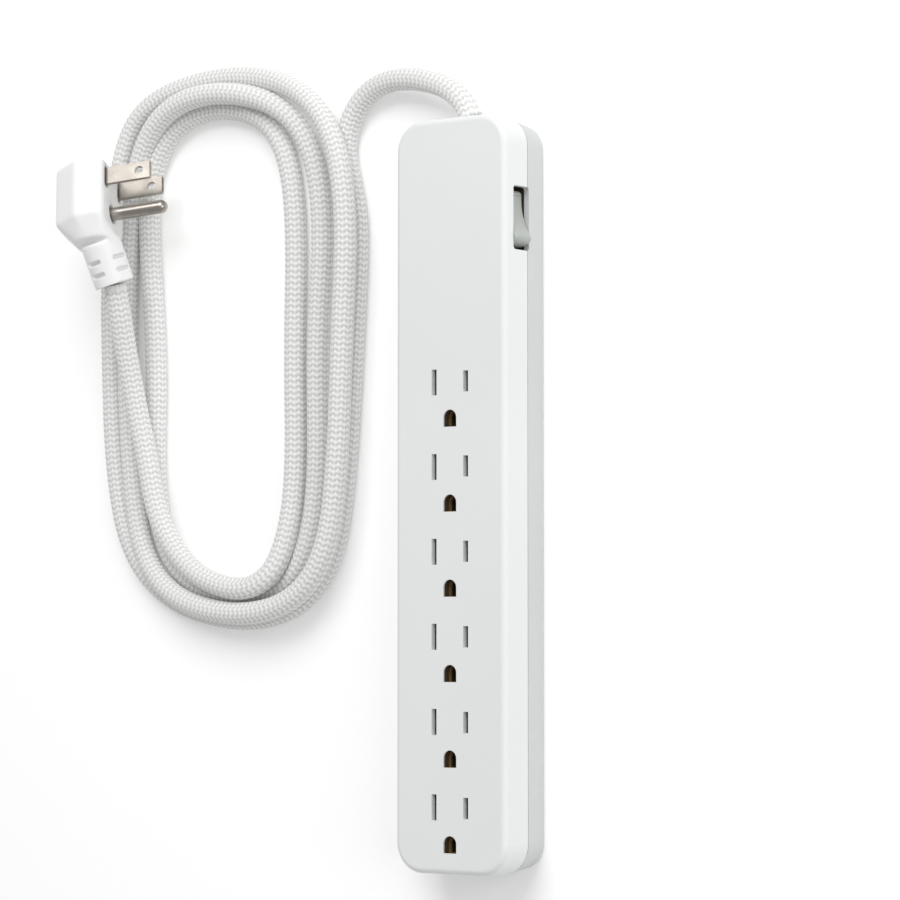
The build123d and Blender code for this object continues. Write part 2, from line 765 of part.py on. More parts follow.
# ------------------------------------------------------------ cord and wires
def corner_radii(points):
    """The largest arc that each corner's two runs leave room for."""
    places = [Vector(*point) for point in points]
    radii = []
    for before, corner, after in zip(places, places[1:], places[2:]):
        run_in = corner - before
        run_out = after - corner
        turn = radians(run_in.get_angle(run_out))
        radii.append(0.45 * min(run_in.length, run_out.length) / tan(turn / 2))
    return radii


def round_tube(name, points, radius):
    """A tube of straight runs and tangent arcs, whose volume is checked against its length."""
    radii = corner_radii(points)
    with BuildPart() as tube:
        with BuildLine():
            path = FilletPolyline(*points, radius=radii)
        with BuildSketch(Plane(origin=path @ 0, z_dir=path % 0)):
            Circle(radius)
        sweep(path=path)
    print(name, "radii", [round(value, 1) for value in radii], "length", round(path.length, 1))
    print("  volume ratio", round(tube.part.volume / (pi * radius**2 * path.length), 4))
    write_part(tube.part, name)


bus_end_y = rail_y_high + bus_tail
wire_on_bus = bus_height + bus_thickness + wire_radius
round_tube(
    "line_wire",
    [
        (1.6, sheath_end_y, cord_z + 1.4),
        (0.8, sheath_end_y - 2.6, cord_z + 1.8),
        (-1.4, sheath_end_y - 5.0, cord_z + 2.4),
        (-3.4, switch_y + 3.6, cord_z + 3.2),
        (-3.0, switch_y + 1.0, switch_z - 0.1),
        (terminal_end - 0.1, switch_y, switch_z),
    ],
    wire_radius,
)
round_tube(
    "load_wire",
    [
        (terminal_end - 0.1, load_y, switch_z),
        (-2.0, load_y - 0.8, switch_z),
        (-3.4, load_y - 3.4, switch_z - 0.6),
        (-2.2, load_y - 9, 12.4),
        (2.4, bus_end_y + 10, wire_on_bus + 1.6),
        (6.2, bus_end_y + 3, wire_on_bus + 0.4),
        (slot_spacing / 2 + bus_offset, bus_end_y - 5, wire_on_bus),
    ],
    wire_radius,
)
round_tube(
    "neutral_wire",
    [
        (-1.6, sheath_end_y, cord_z + 1.4),
        (-4.6, sheath_end_y - 4, cord_z + 1.2),
        (-9.4, sheath_end_y - 11, cord_z + 0.4),
        (-11.0, 80.0, 10.8),
        (-9.8, bus_end_y + 10, wire_on_bus + 0.6),
        (-7.4, bus_end_y + 3, wire_on_bus + 0.1),
        (-slot_spacing / 2 - bus_offset, bus_end_y - 5, wire_on_bus),
    ],
    wire_radius,
)
round_tube(
    "ground_wire",
    [
        (0.0, sheath_end_y, cord_z - 1.8),
        (-1.6, sheath_end_y - 5, cord_z - 2.0),
        (-5.6, sheath_end_y - 12, cord_z - 2.2),
        (-7.0, 78.0, wire_on_bus + 0.4),
        (-4.2, bus_end_y + 9, wire_on_bus + 0.2),
        (-0.6, bus_end_y + 3, wire_on_bus + 0.1),
        (0.0, bus_end_y - 5, wire_on_bus),
    ],
    wire_radius,
)

# the free cord: out of the gland, over in a loop, and down to the coil
lead_arch = [
    (0.0, 0.4, 11.4),
    (-2.2, 6.0, 11.4),
    (-8.6, 11.5, 10.9),
    (-16.4, 14.9, 10.0),
    (-27.0, 17.5, 8.4),
    (-39.0, 18.1, 6.4),
    (-49.6, 14.7, 4.8),
    (-57.0, 6.9, 3.8),
    (-59.6, -4.0, 3.8),
]
lead_points = [(x, half_length + y, z) for x, y, z in lead_arch]
lead_points += [(-56.0, 106.5, 3.8), (-53.2, 92.0, 3.8)]
round_tube("cord_lead", lead_points, cord_radius)

# two layers of turns, with one layer where the plug lies on them
layer = cord_diameter
with BuildPart() as cord_coil:
    with BuildSketch():
        with Locations(coil_centre):
            RectangleRounded(coil_outer_width, coil_outer_length, coil_outer_width / 2 - 0.1)
            RectangleRounded(
                coil_inner_width, coil_inner_length, coil_inner_width / 2 - 0.1, mode=Mode.SUBTRACT
            )
    extrude(amount=2 * layer)
    box_between(
        coil_centre[0] - coil_outer_width, coil_plug_zone_x,
        coil_plug_zone_y, coil_centre[1] + coil_outer_length, layer, 3 * layer, Mode.SUBTRACT,
    )
write_part(cord_coil.part, "cord_coil")

# -------------------------------------------------------------------- plug
plug_frame = Plane(origin=plug_face_centre, x_dir=blade_direction, z_dir=across_blades)


def plug_point(x, y, z):
    """A place given along the blades, away from the cord, and across the blades."""
    return plug_frame.from_local_coords(Vector(x, y, z))


def plug_section(y):
    """A plane square to the plug's length: its x runs along the blades, its y across them."""
    return Plane(origin=plug_point(0, y, 0), x_dir=plug_frame.x_dir, z_dir=-plug_frame.y_dir)


def plug_box(x_low, x_high, y_low, y_high, z_low, z_high, mode=Mode.ADD):
    middle = plug_frame * Location(((x_low + x_high) / 2, (y_low + y_high) / 2, (z_low + z_high) / 2))
    with Locations(middle):
        Box(x_high - x_low, y_high - y_low, z_high - z_low, mode=mode)


def plug_cylinder(x_low, x_high, y, z, radius, mode=Mode.ADD):
    """A cylinder along the blades."""
    middle = plug_frame * Location(((x_low + x_high) / 2, y, z), (0, 90, 0))
    with Locations(middle):
        Cylinder(radius, x_high - x_low, mode=mode)


half_plug = plug_width / 2
plug_end = plug_above_blades - plug_straight
neck_y = plug_end - plug_taper
blade_z = blade_spacing / 2
pin_y = -ground_offset
bridge_back = bridge_front + bridge_depth
boot_start = plug_point(-boot_back, neck_y + boot_overlap, 0)
boot_way = Vector(*boot_direction).normalized()
boot_frame = Plane(origin=boot_start, x_dir=Vector(*across_blades).cross(boot_way), z_dir=boot_way)
boot_total = boot_length + boot_overlap

with BuildPart() as plug_body:
    outline = [
        (0, -half_plug),
        (0, half_plug),
        (-(plug_depth - plug_bevel_depth), half_plug),
        (-plug_depth, half_plug - plug_bevel_width),
        (-plug_depth, -half_plug + plug_bevel_width),
        (-(plug_depth - plug_bevel_depth), -half_plug),
    ]
    with BuildSketch(plug_section(plug_above_blades)) as section:
        with BuildLine():
            Polyline(*outline, close=True)
        make_face()
        fillet(section.vertices(), plug_edge)
    extrude(amount=plug_straight)
    top_face = plug_body.faces().sort_by(lambda face: plug_frame.to_local_coords(face.center()).Y)[-1]
    fillet(top_face.edges(), plug_edge - 0.2)
    with BuildSketch(plug_section(plug_end)) as wide_end:
        with BuildLine():
            Polyline(*outline, close=True)
        make_face()
        fillet(wide_end.vertices(), plug_edge)
    with BuildSketch(plug_section(neck_y)) as narrow_end:
        with Locations((-plug_neck_back, 0)):
            RectangleRounded(plug_neck, plug_neck, plug_neck / 2 - 1.0)
    loft(sections=[wide_end.sketch, narrow_end.sketch])
    # the boot leans towards the blades and down
    with BuildSketch(boot_frame) as boot_root:
        Circle(boot_start_radius)
    with BuildSketch(boot_frame.offset(boot_total)) as boot_mouth:
        Circle(boot_end_radius)
    loft(sections=[boot_root.sketch, boot_mouth.sketch])
    for step in range(2):
        for side in (-1, 1):
            for turn in (0, 90):
                along = boot_total - boot_slot_from_mouth - boot_slot_pitch * step
                slot_place = boot_frame * Location((0, 0, along), (0, 0, boot_slot_turn + turn))
                slot_place = slot_place * Location((side * boot_start_radius, 0, 0))
                with Locations(slot_place):
                    Box(3.4, 6.0, boot_slot, mode=Mode.SUBTRACT)
    # room for the insert, and the small recesses round the blade roots
    plug_box(
        -bridge_back, -bridge_front, bridge_low, bridge_high,
        -bridge_half_width, bridge_half_width, Mode.SUBTRACT,
    )
    for side in (-1, 1):
        plug_box(
            -bridge_front - 0.1, 0.1,
            -blade_width / 2 - root_recess_margin, blade_width / 2 + root_recess_margin,
            side * blade_z - blade_thickness / 2 - root_recess_margin,
            side * blade_z + blade_thickness / 2 + root_recess_margin, Mode.SUBTRACT,
        )
    plug_cylinder(-bridge_front - 0.1, 0.1, pin_y, 0, ground_pin_radius + root_recess_margin, Mode.SUBTRACT)
write_part(plug_body.part, "plug_body")

with BuildPart() as plug_bridge:
    plug_box(-bridge_back, -bridge_front, bridge_low, bridge_high, -bridge_half_width, bridge_half_width)
    for side in (-1, 1):
        plug_box(
            -bridge_back, -bridge_front, -blade_width / 2, blade_width / 2,
            side * blade_z - blade_thickness / 2, side * blade_z + blade_thickness / 2, Mode.SUBTRACT,
        )
    plug_cylinder(-bridge_back, -bridge_front, pin_y, 0, ground_pin_radius, Mode.SUBTRACT)
write_part(plug_bridge.part, "plug_bridge")

for name, side in (("line_blade", 1), ("neutral_blade", -1)):
    with BuildPart() as blade:
        centre_z = side * blade_z
        plug_box(
            -bridge_back, blade_length, -blade_width / 2, blade_width / 2,
            centre_z - blade_thickness / 2, centre_z + blade_thickness / 2,
        )
        tip_edges = blade.edges().sort_by(lambda edge: plug_frame.to_local_coords(edge.center()).X)[-4:]
        chamfer(tip_edges, 0.45)
        hole_place = plug_frame * Location((blade_length - blade_hole_from_tip, 0, centre_z))
        with Locations(hole_place):
            Cylinder(blade_hole_radius, 2 * blade_thickness, mode=Mode.SUBTRACT)
    write_part(blade.part, name)

with BuildPart() as ground_pin:
    plug_cylinder(-bridge_back, ground_pin_length - ground_pin_radius, pin_y, 0, ground_pin_radius)
    with Locations(plug_point(ground_pin_length - ground_pin_radius, pin_y, 0)):
        Sphere(ground_pin_radius)
write_part(ground_pin.part, "ground_pin")

# the cord from the plug's boot down on to the coil
boot_end = boot_start + boot_way * boot_total
tail_points = [
    tuple(boot_end),
    (-144.9, 69.0, 23.2),
    (-145.8, 58.5, 19.6),
    (-146.0, 47.0, 16.2),
    (-145.0, 34.0, 13.6),
    (-141.6, 18.0, 12.2),
]
round_tube("cord_tail", tail_points, cord_radius)
print("boot end", tuple(round(value, 2) for value in boot_end))
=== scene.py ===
# %% [markdown]
# # A white power strip with a coiled, braided cord
# Six grounded outlets, a grey rocker set in the long side, and 1.77 m of cloth-covered cord
# that leaves one end, winds into an oblong coil and stops at a right-angle plug. The measured
# model comes first and never moves. The looks are built around it, in metres, in the same frame.

# %% Load the measured model
import math

import bpy
import numpy as np
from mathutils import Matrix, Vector


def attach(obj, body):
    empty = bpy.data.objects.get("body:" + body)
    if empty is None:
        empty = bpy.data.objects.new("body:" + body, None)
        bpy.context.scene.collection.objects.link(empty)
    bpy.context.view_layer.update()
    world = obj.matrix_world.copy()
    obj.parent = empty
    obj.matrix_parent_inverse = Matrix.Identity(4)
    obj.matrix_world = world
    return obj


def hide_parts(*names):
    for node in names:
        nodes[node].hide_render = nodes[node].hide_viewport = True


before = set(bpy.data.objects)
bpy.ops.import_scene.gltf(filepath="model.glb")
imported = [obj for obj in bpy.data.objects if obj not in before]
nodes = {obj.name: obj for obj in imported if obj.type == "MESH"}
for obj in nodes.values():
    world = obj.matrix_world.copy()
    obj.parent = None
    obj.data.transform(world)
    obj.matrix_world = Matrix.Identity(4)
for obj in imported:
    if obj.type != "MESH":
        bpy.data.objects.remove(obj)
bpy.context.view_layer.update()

# %% [markdown]
# ## The camera
# A long lens, looking down on the strip from well over its rocker side. A long lens keeps the
# long edges nearly parallel, so the casing reads as the straight box it is.

# %% Camera
camera_data = bpy.data.cameras.new("view_camera")
camera_data.lens = 136.06
camera_data.sensor_width = 36.0
camera = bpy.data.objects.new("view_camera", camera_data)
camera.location = (0.6546, -0.0449, 0.9166)
camera.rotation_euler = (math.radians(3.06), math.radians(36.25), 0.0)
bpy.context.scene.collection.objects.link(camera)
bpy.context.scene.camera = camera
print("camera stands", round(camera.location.length, 3), "m from the strip")

# %% [markdown]
# ## Small helpers
# A finished piece keeps its object at the origin with its place in its mesh, so each helper
# takes plain vertices and faces, already in place.

# %% Mesh helpers
def mesh_object(name, vertices, faces, smooth=True):
    """A new object at the origin from vertices in metres."""
    mesh = bpy.data.meshes.new(name)
    mesh.from_pydata([tuple(vertex) for vertex in vertices], [], faces)
    mesh.update()
    for polygon in mesh.polygons:
        polygon.use_smooth = smooth
    piece = bpy.data.objects.new(name, mesh)
    bpy.context.scene.collection.objects.link(piece)
    return piece


def applied(piece):
    """The piece with its modifiers turned into plain mesh."""
    ready = bpy.context.evaluated_depsgraph_get()
    mesh = bpy.data.meshes.new_from_object(piece.evaluated_get(ready))
    piece.modifiers.clear()
    piece.data = mesh
    return piece


# %% [markdown]
# ## The route of the cord
# The real cord is one round lead, 7.6 mm thick, so its route is one smooth NURBS curve with
# listed control points. The first points bend out of the gland and down to the table. Each
# turn of the coil is then eight stations: the middle and foot of the right side, the near end,
# the foot, middle and head of the left side, the far end, and the head of the right side. Rounded
# corners join a side to an end, and strands that cross do so one thickness higher. The last
# points climb into the plug's boot.

# %% Control points
cord_width = 0.0076
lead_points = [
    (0.0, 0.1239, 0.0114), (-0.0022, 0.1295, 0.0114), (-0.0086, 0.1350, 0.0109),
    (-0.0164, 0.1384, 0.0100), (-0.0270, 0.1410, 0.0084), (-0.0390, 0.1416, 0.0064),
    (-0.0496, 0.1382, 0.0048), (-0.0570, 0.1304, 0.0038), (-0.0596, 0.1195, 0.0038),
    (-0.0560, 0.1065, 0.0038), (-0.0532, 0.0920, 0.0038),
]
tail_points = [
    (-0.1450, 0.0340, 0.0136), (-0.1460, 0.0470, 0.0162), (-0.1458, 0.0585, 0.0196),
    (-0.1449, 0.0690, 0.0232), (-0.14505, 0.07725, 0.0254),
]
coil_turns = [
    [(-0.0556, 0.052, 0.0038), (-0.0584, 0.012, 0.0038), (-0.102, -0.042, 0.0038),
     (-0.1636, 0.014, 0.0038), (-0.1654, 0.052, 0.0038), (-0.1662, 0.084, 0.0038),
     (-0.112, 0.151, 0.0044), (-0.0516, 0.098, 0.0124)],
    [(-0.0546, 0.054, 0.0114), (-0.0562, 0.012, 0.0114), (-0.098, -0.040, 0.0114),
     (-0.1548, 0.014, 0.0050), (-0.1572, 0.050, 0.0048), (-0.1570, 0.088, 0.0048),
     (-0.116, 0.1448, 0.0114), (-0.0680, 0.098, 0.0038)],
    [(-0.0714, 0.054, 0.0038), (-0.0702, 0.010, 0.0038), (-0.103, -0.0344, 0.0038),
     (-0.1454, 0.014, 0.0038), (-0.1438, 0.050, 0.0038), (-0.149, 0.106, 0.0038),
     (-0.116, 0.1402, 0.0038), (-0.0802, 0.096, 0.0038)],
    [(-0.0812, 0.052, 0.0038), (-0.0802, 0.006, 0.0038), (-0.100, -0.0312, 0.0122),
     (-0.1416, 0.018, 0.0122)],
]
# how square each turn's four corners are, where 2 is a plain ellipse
corner_squareness = [
    (2.5, 2.3, 3.3, 2.3), (2.5, 2.5, 2.4, 2.6), (2.5, 2.5, 2.3, 2.5), (2.9, 2.0, 2.0, 2.0),
]
# corners that climb early, to be clear of the strand they cross
early_climbs = {(0, 3), (3, 0)}
points_per_corner = 3


def rounded_corner(start, end, squareness, from_side, early):
    """Control points from one station to the next, round a quarter of a squarish oval."""
    centre = (end[0], start[1]) if from_side else (start[0], end[1])
    points = []
    for step in range(points_per_corner):
        angle = step / points_per_corner * math.pi / 2
        near = math.cos(angle) ** (2 / squareness)
        far = math.sin(angle) ** (2 / squareness)
        climb = math.sin(angle) if early else (1 - math.cos(2 * angle)) / 2
        points.append((
            centre[0] + (start[0] - centre[0]) * near + (end[0] - centre[0]) * far,
            centre[1] + (start[1] - centre[1]) * near + (end[1] - centre[1]) * far,
            start[2] + (end[2] - start[2]) * climb,
        ))
    return points


coil_points = []
stations = [(turn, place) for turn, row in enumerate(coil_turns) for place in range(len(row))]
corner_of = {1: 0, 2: 1, 5: 2, 6: 3}
for (turn, place), (next_turn, next_place) in zip(stations, stations[1:]):
    start, end = coil_turns[turn][place], coil_turns[next_turn][next_place]
    if place in corner_of:
        corner = corner_of[place]
        coil_points += rounded_corner(
            start, end, corner_squareness[turn][corner], place in (1, 5), (turn, corner) in early_climbs
        )
    else:
        coil_points.append(start)
coil_points.append(coil_turns[-1][-1])
route_points = lead_points + coil_points + tail_points
print("control points:", len(lead_points), "lead,", len(coil_points), "coil,", len(tail_points), "tail")

# %% Smooth the route and measure it
route = bpy.data.curves.new("cord_route", "CURVE")
route.dimensions = "3D"
spline = route.splines.new("NURBS")
spline.points.add(len(route_points) - 1)
for control, point in zip(spline.points, route_points):
    control.co = (*point, 1.0)
spline.order_u = 3
spline.use_endpoint_u = True
spline.resolution_u = 24
route_object = bpy.data.objects.new("cord_route", route)
bpy.context.scene.collection.objects.link(route_object)
route_mesh = bpy.data.meshes.new_from_object(route_object)
centre_line = np.array([vertex.co for vertex in route_mesh.vertices], dtype=float)
bpy.data.objects.remove(route_object)
run_lengths = np.linalg.norm(np.diff(centre_line, axis=0), axis=1)
distance_along = np.concatenate([[0.0], np.cumsum(run_lengths)])
cord_length = float(distance_along[-1])
print("cord is", round(cord_length, 3), "m long, from", len(centre_line), "points of the spline")

# %% [markdown]
# ## The braided cord
# Cotton yarn is braided over the lead in a herringbone: rows two millimetres apart that zigzag
# eight times round it. The tube's rings follow that same zigzag, so a row's valley is a real
# groove on the mesh and stays crisp with few faces. The UV map carries the braid: its first
# number goes once round the cord, its second counts rows.

# %% Braided tube
braid_row = 0.0020
rings_per_row = 3
zigzags_round = 8
sides_round = 32
zigzag_depth = 0.00042
braid_relief = 0.00016
frame_spacing = 0.0002
smoothing_span = 25


def even_frames(points, distances, spacing):
    """Places every spacing along a line, each with two directions square to it that don't twist."""
    stops = np.arange(0.0, distances[-1], spacing)
    places = np.stack([np.interp(stops, distances, points[:, axis]) for axis in range(3)], axis=1)
    kernel = np.ones(smoothing_span) / smoothing_span
    margin = smoothing_span // 2
    padded = np.pad(places, ((margin, margin), (0, 0)), mode="reflect", reflect_type="odd")
    places = np.stack([np.convolve(padded[:, axis], kernel, mode="valid") for axis in range(3)], axis=1)
    ways = np.gradient(places, axis=0)
    ways /= np.linalg.norm(ways, axis=1)[:, None]
    first = np.zeros_like(places)
    side = np.array([0.0, 0.0, 1.0])
    for index, way in enumerate(ways):
        side = side - way * float(side @ way)
        side /= np.linalg.norm(side)
        first[index] = side
    return stops, places, first, np.cross(ways, first)


stops, places, upward, sideways = even_frames(centre_line, distance_along, frame_spacing)
line_end = stops[-1]
ring_gap = braid_row / rings_per_row
ring_count = int((line_end - 4 * zigzag_depth) / ring_gap)
around = np.arange(sides_round) / sides_round
zigzag = np.abs((around * zigzags_round) % 1.0 - 0.5) * 4 - 1
ring_starts = 2 * zigzag_depth + np.arange(ring_count) * ring_gap
reach = ring_starts[:, None] + zigzag_depth * zigzag[None, :]
reach[0, :], reach[-1, :] = 0.0, line_end
picks = np.clip(np.rint(reach / frame_spacing).astype(int), 0, len(stops) - 1)
valley = np.where(np.arange(ring_count) % rings_per_row == 0, -1.0, 0.35)[:, None]
crown = 0.35 * np.abs(zigzag)[None, :]
radius = cord_width / 2 + braid_relief * (valley + crown - 0.1)
angle = 2 * math.pi * around[None, :]
shell = (
    places[picks]
    + upward[picks] * (radius * np.cos(angle))[:, :, None]
    + sideways[picks] * (radius * np.sin(angle))[:, :, None]
)
shell_faces = []
for ring in range(ring_count - 1):
    base = ring * sides_round
    for side in range(sides_round):
        after = (side + 1) % sides_round
        above = base + sides_round
        shell_faces.append((base + side, base + after, above + after, above + side))
shell_faces.append(tuple(range(sides_round))[::-1])
last_ring = (ring_count - 1) * sides_round
shell_faces.append(tuple(last_ring + side for side in range(sides_round)))
cord = mesh_object("braided_cord", shell.reshape(-1, 3), shell_faces)
braid_map = cord.data.uv_layers.new(name="braid")
loop_vertex = np.empty(len(cord.data.loops), dtype=int)
cord.data.loops.foreach_get("vertex_index", loop_vertex)
loop_ring, loop_side = np.divmod(loop_vertex, sides_round)
loop_u = loop_side / sides_round
side_corners = (ring_count - 1) * sides_round * 4
corner_u = loop_u[:side_corners].reshape(-1, 4)
wraps = (corner_u.max(axis=1) - corner_u.min(axis=1)) > 0.5
corner_u[wraps] = np.where(corner_u[wraps] < 0.5, corner_u[wraps] + 1.0, corner_u[wraps])
coordinates = np.stack([loop_u, loop_ring / rings_per_row], axis=1)
braid_map.data.foreach_set("uv", coordinates.ravel())
print("braided cord:", ring_count, "rings,", len(cord.data.polygons), "faces")

# %% [markdown]
# ## Writing materials as sums
# A finish is easier to read as arithmetic than as a drawing of nodes. `Amount` wraps one number
# inside a material and turns `+ - *` into Math nodes. `Finish.node` adds any other node from
# its type, its settings and its inputs.

# %% Material arithmetic
class Amount:
    """A number that varies over a surface."""

    def __init__(self, finish, socket):
        self.finish = finish
        self.socket = socket

    def _join(self, operation, first, second):
        return self.finish.node("ShaderNodeMath", {"operation": operation}, {0: first, 1: second})

    def __add__(self, other):
        return self._join("ADD", self, other)

    def __radd__(self, other):
        return self._join("ADD", other, self)

    def __sub__(self, other):
        return self._join("SUBTRACT", self, other)

    def __rsub__(self, other):
        return self._join("SUBTRACT", other, self)

    def __mul__(self, other):
        return self._join("MULTIPLY", self, other)

    def __rmul__(self, other):
        return self._join("MULTIPLY", other, self)


class Finish:
    """One procedural material, with a Principled shader whose fixed values are set on its sockets."""

    def __init__(self, name, **fixed):
        self.material = bpy.data.materials.new(name)
        self.material.use_nodes = True
        self.tree = self.material.node_tree
        self.shader = next(node for node in self.tree.nodes if node.type == "BSDF_PRINCIPLED")
        for socket, value in fixed.items():
            self.shader.inputs[socket.replace("_", " ")].default_value = value

    def node(self, kind, settings=None, inputs=None, output=0):
        added = self.tree.nodes.new(kind)
        for setting, value in (settings or {}).items():
            setattr(added, setting, value)
        for socket, value in (inputs or {}).items():
            if isinstance(value, Amount):
                self.tree.links.new(value.socket, added.inputs[socket])
            else:
                added.inputs[socket].default_value = value
        return Amount(self, added.outputs[output])

    def feed(self, socket, value):
        """Lets a value that varies reach the shader."""
        self.tree.links.new(value.socket, self.shader.inputs[socket])

    def place(self):
        return self.node("ShaderNodeTexCoord", output="Object")

    def noise(self, scale, detail=2.0, roughness=0.5, where=None):
        """Noise from 0 to 1, with its scale in waves per metre."""
        inputs = {
            "Vector": where or self.place(), "Scale": scale, "Detail": detail, "Roughness": roughness,
        }
        return self.node("ShaderNodeTexNoise", inputs=inputs)

    def between(self, amount, low, high, low_out=0.0, high_out=1.0):
        """The amount stretched from one range to another, and held inside it."""
        inputs = {
            "Value": amount, "From Min": low, "From Max": high, "To Min": low_out, "To Max": high_out,
        }
        return self.node("ShaderNodeMapRange", inputs=inputs)

    def mixed(self, amount, first, second):
        """A colour between two colours."""
        inputs = {0: amount, 6: first, 7: second}
        return self.node("ShaderNodeMix", {"data_type": "RGBA"}, inputs, output=2)

    def bump(self, height, strength, distance):
        inputs = {"Height": height, "Strength": strength, "Distance": distance}
        self.feed("Normal", self.node("ShaderNodeBump", inputs=inputs))


def moulded_plastic(name, colour, shade, roughness=0.42, grain=2200.0, grain_depth=0.00002, coat=0.0):
    """Injection-moulded plastic: near-even colour, and the fine grain of a spark-eroded mould."""
    finish = Finish(name, IOR=1.46, Coat_Roughness=0.2)
    drift = finish.noise(18.0, 3.0)
    finish.feed("Base Color", finish.mixed(finish.between(drift, 0.3, 0.7), (*colour, 1), (*shade, 1)))
    speckle = finish.noise(grain, 2.0, 0.6)
    wear = finish.noise(70.0, 4.0)
    finish.feed("Roughness", roughness - 0.04 + 0.05 * speckle + 0.06 * wear)
    finish.shader.inputs["Coat Weight"].default_value = coat
    finish.bump(speckle, 0.35, grain_depth)
    return finish.material


def guide_with_painted_glint(low, high):
    """Dark brown phenolic, with a painted brass glint: a brass-coloured band that stands for the contact
    shining in the hole.
    """
    finish = Finish("guide_plastic", Roughness=0.45, IOR=1.5)
    axes = finish.node("ShaderNodeSeparateXYZ", inputs={0: finish.place()}, output=2)
    middle, half = (low + high) / 2, (high - low) / 2
    away = finish.node("ShaderNodeMath", {"operation": "ABSOLUTE"}, {0: axes - middle})
    # painted brass glint: the band is strongest midway between low and high
    painted_glint = finish.between(away, 0.3 * half, half, 1.0, 0.0)
    mottle = finish.between(finish.noise(900.0, 3.0), 0.3, 0.7, 0.7, 1.0)
    brown, glint_colour = (0.085, 0.055, 0.033, 1), (0.52, 0.35, 0.15, 1)
    finish.feed("Base Color", finish.mixed(painted_glint * mottle, brown, glint_colour))
    return finish.material


cover_plastic = moulded_plastic("cover_plastic", (0.775, 0.79, 0.785), (0.755, 0.77, 0.765))
base_plastic = moulded_plastic("base_plastic", (0.60, 0.615, 0.615), (0.58, 0.595, 0.595), roughness=0.5)
rocker_plastic = moulded_plastic("rocker_plastic", (0.42, 0.44, 0.41), (0.38, 0.40, 0.37), roughness=0.4)
shutter_plastic = moulded_plastic(
    "shutter_plastic", (0.26, 0.26, 0.255), (0.23, 0.23, 0.225), roughness=0.5
)
insulator = moulded_plastic("insulator", (0.055, 0.042, 0.030), (0.04, 0.03, 0.022), roughness=0.55)
# the painted brass glint sits between these two heights
guide_plastic = guide_with_painted_glint(0.0188, 0.0212)
gland_plastic = moulded_plastic("gland_plastic", (0.80, 0.80, 0.80), (0.76, 0.76, 0.76), roughness=0.5)
plug_plastic = moulded_plastic(
    "plug_plastic", (0.86, 0.862, 0.86), (0.83, 0.832, 0.83), roughness=0.38, coat=0.15
)
print("plastics: cover, base, rocker, shutter, insulator, guide, gland, plug")

# %% [markdown]
# ## Metals
# The blades are nickel-plated brass that has been handled, so they are warm and a little dull,
# with fine lines along their length. The bus bars are bare brass. Screws are zinc-plated steel.

# %% Metals
def rolled_metal(name, colour, worn, roughness, streak_ways=(60.0, 900.0, 900.0)):
    """Rolled or drawn metal: fine streaks along one way, with dull patches."""
    finish = Finish(name, Metallic=1.0)
    mapping = finish.node("ShaderNodeMapping", inputs={"Vector": finish.place(), "Scale": streak_ways})
    streaks = finish.noise(1.0, 3.0, 0.6, where=mapping)
    patches = finish.noise(160.0, 4.0)
    dullness = finish.between(patches, 0.35, 0.75)
    finish.feed("Base Color", finish.mixed(dullness, (*colour, 1), (*worn, 1)))
    finish.feed("Roughness", roughness + 0.12 * streaks + 0.14 * patches - 0.1)
    finish.bump(streaks, 0.25, 0.00002)
    return finish.material


plug_metal = rolled_metal("plug_metal", (0.42, 0.39, 0.35), (0.30, 0.275, 0.245), 0.26)
contact_brass = rolled_metal("contact_brass", (0.72, 0.50, 0.22), (0.50, 0.33, 0.14), 0.34)
spring_steel = rolled_metal("spring_steel", (0.56, 0.56, 0.58), (0.44, 0.44, 0.46), 0.28)
screw_steel = rolled_metal("screw_steel", (0.62, 0.62, 0.60), (0.50, 0.50, 0.47), 0.32)


def wire_cover(name, colour, shade):
    """Smooth PVC insulation with a faint mottle."""
    return moulded_plastic(name, colour, shade, roughness=0.36, grain=900.0, grain_depth=0.00001)


wire_black = wire_cover("wire_black", (0.02, 0.02, 0.02), (0.03, 0.03, 0.03))
wire_white = wire_cover("wire_white", (0.78, 0.77, 0.74), (0.72, 0.71, 0.68))
wire_green = wire_cover("wire_green", (0.05, 0.30, 0.09), (0.04, 0.24, 0.07))
print("metals and wire covers: 7")

# %% [markdown]
# ## Six screws from one drawing
# The cover is held by six self-tapping screws driven up through the base. One Geometry Nodes
# tree draws a screw: a head with a cross recess, a shank, and a thread that climbs it. The tree
# sets that screw on six points, each turned by its own amount, as screws end up.

